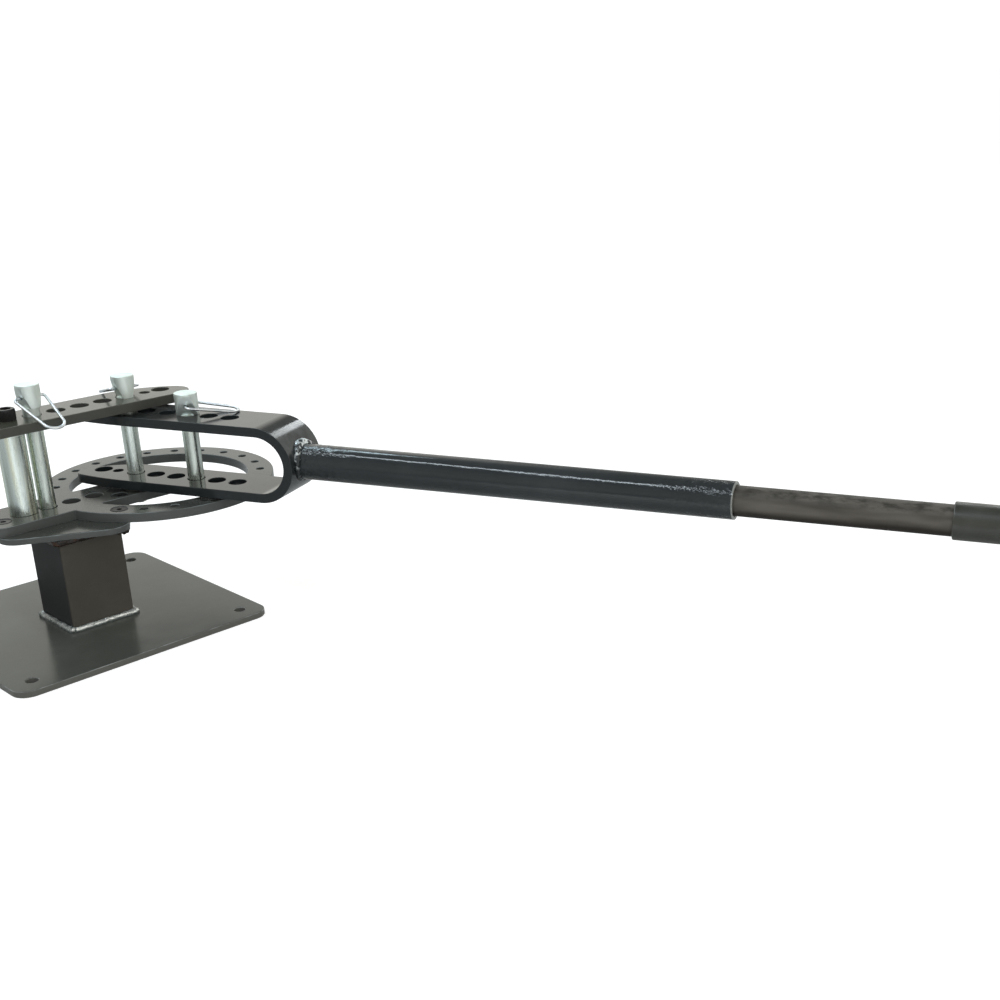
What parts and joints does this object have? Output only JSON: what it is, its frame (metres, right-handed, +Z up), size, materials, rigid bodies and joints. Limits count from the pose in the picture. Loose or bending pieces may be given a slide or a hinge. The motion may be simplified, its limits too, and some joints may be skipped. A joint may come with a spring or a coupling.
{
  "type": "pipe bending machine",
  "caption": "Bench-mounted pipe and bar bender: column on a base plate, ringed frame plate, upper bar, lift-out pins and a swinging U-shaped yoke with a long telescoping handle.",
  "frame": {"origin": "centre of the base plate's underside, on the bench", "axes": "+Z up along the column, +X along the frame bar from its tail towards the ring"},
  "size_m": [0.7821, 1.2298, 0.304],
  "materials": {
    "black_paint": "semi-gloss black enamel",
    "painted_weld": "weld bead under the same enamel",
    "blackened_steel": "matte black, lightly rubbed by sliding",
    "grip_rubber": "matte black rubber",
    "cap_plastic": "matte black plastic",
    "black_screw": "black oxide",
    "zinc_steel": "bright zinc plating",
    "wire_steel": "bright spring wire"
  },
  "bodies": {
    "base": {"base_plate": "black_paint", "column": "black_paint", "column_foot_weld": "painted_weld", "column_top_weld": "painted_weld", "mounting_plate": "black_paint", "mounting_screws": "black_screw", "lower_frame_plate": "black_paint", "upper_bar": "black_paint", "spacer_sleeve": "zinc_steel", "clamp_screw": "black_screw", "lower_pivot_washer": "zinc_steel"},
    "yoke_arm": {"yoke": "black_paint", "yoke_weld": "painted_weld", "handle_tube": "black_paint", "upper_pivot_washer": "zinc_steel"},
    "handle_end": {"handle_extension": "blackened_steel", "handle_grip": "grip_rubber", "handle_end_cap": "cap_plastic"},
    "frame_pin_body": {"frame_pin": "zinc_steel"},
    "frame_bail_body": {"frame_pin_bail": "wire_steel"},
    "pivot_pin_body": {"pivot_pin": "zinc_steel"},
    "pivot_bail_body": {"pivot_pin_bail": "wire_steel"},
    "yoke_pin_body": {"yoke_pin": "zinc_steel"},
    "yoke_bail_body": {"yoke_pin_bail": "wire_steel"}
  },
  "joints": [
    {"name": "yoke_swing", "type": "hinge", "parent": "base", "child": "yoke_arm", "pos_m": [0.109, 0.03, 0.20075], "axis": [0, 0, 1], "range_deg": [-81, 31]},
    {"name": "handle_extension_slide", "type": "slide", "parent": "yoke_arm", "child": "handle_end", "axis": [0.4163, -0.9092, 0], "range_m": [-0.235, 0.06]},
    {"name": "frame_pin_lift", "type": "slide", "parent": "base", "child": "frame_pin_body", "axis": [0, 0, 1], "range_m": [0, 0.14]},
    {"name": "frame_bail_swing", "type": "hinge", "parent": "frame_pin_body", "child": "frame_bail_body", "pos_m": [-0.011, 0.03, 0.288], "axis": [-0.9945, -0.1045, 0], "range_deg": [0, 230]},
    {"name": "pivot_pin_lift", "type": "slide", "parent": "base", "child": "pivot_pin_body", "axis": [0, 0, 1], "range_m": [0, 0.15]},
    {"name": "pivot_bail_swing", "type": "hinge", "parent": "pivot_pin_body", "child": "pivot_bail_body", "pos_m": [0.109, 0.03, 0.2775], "axis": [0.9903, -0.1392, 0], "range_deg": [0, 205]},
    {"name": "yoke_pin_lift", "type": "slide", "parent": "yoke_arm", "child": "yoke_pin_body", "axis": [0, 0, 1], "range_m": [0, 0.11]},
    {"name": "yoke_bail_swing", "type": "hinge", "parent": "yoke_pin_body", "child": "yoke_bail_body", "pos_m": [0.14647, -0.05183, 0.261], "axis": [-0.5878, -0.809, 0], "range_deg": [0, 185]}
  ]
}
